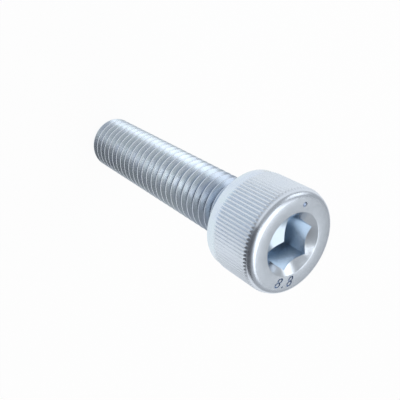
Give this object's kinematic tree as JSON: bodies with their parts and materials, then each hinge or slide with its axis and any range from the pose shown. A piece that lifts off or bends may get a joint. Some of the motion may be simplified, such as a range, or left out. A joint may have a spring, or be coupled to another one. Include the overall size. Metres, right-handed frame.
{
  "type": "hexagon socket cap screw",
  "caption": "Hexagon socket head cap screw, M8 x 35, in bright zinc plated steel: a knurled cylindrical head with a smooth band under it, a countersunk hexagon socket, and a coarse thread that runs up to the head.",
  "frame": {"origin": "centre of the flat end of the tip, on the floor that the screw stands on", "axes": "+Z along the screw's axis, from the tip to the head; +X and +Y across it"},
  "size_m": [0.0132, 0.0132, 0.043],
  "materials": {
    "zinc_plated_steel": "bright zinc plating, slightly blue"
  },
  "bodies": {
    "root": {"cap_screw": "zinc_plated_steel"}
  },
  "joints": []
}
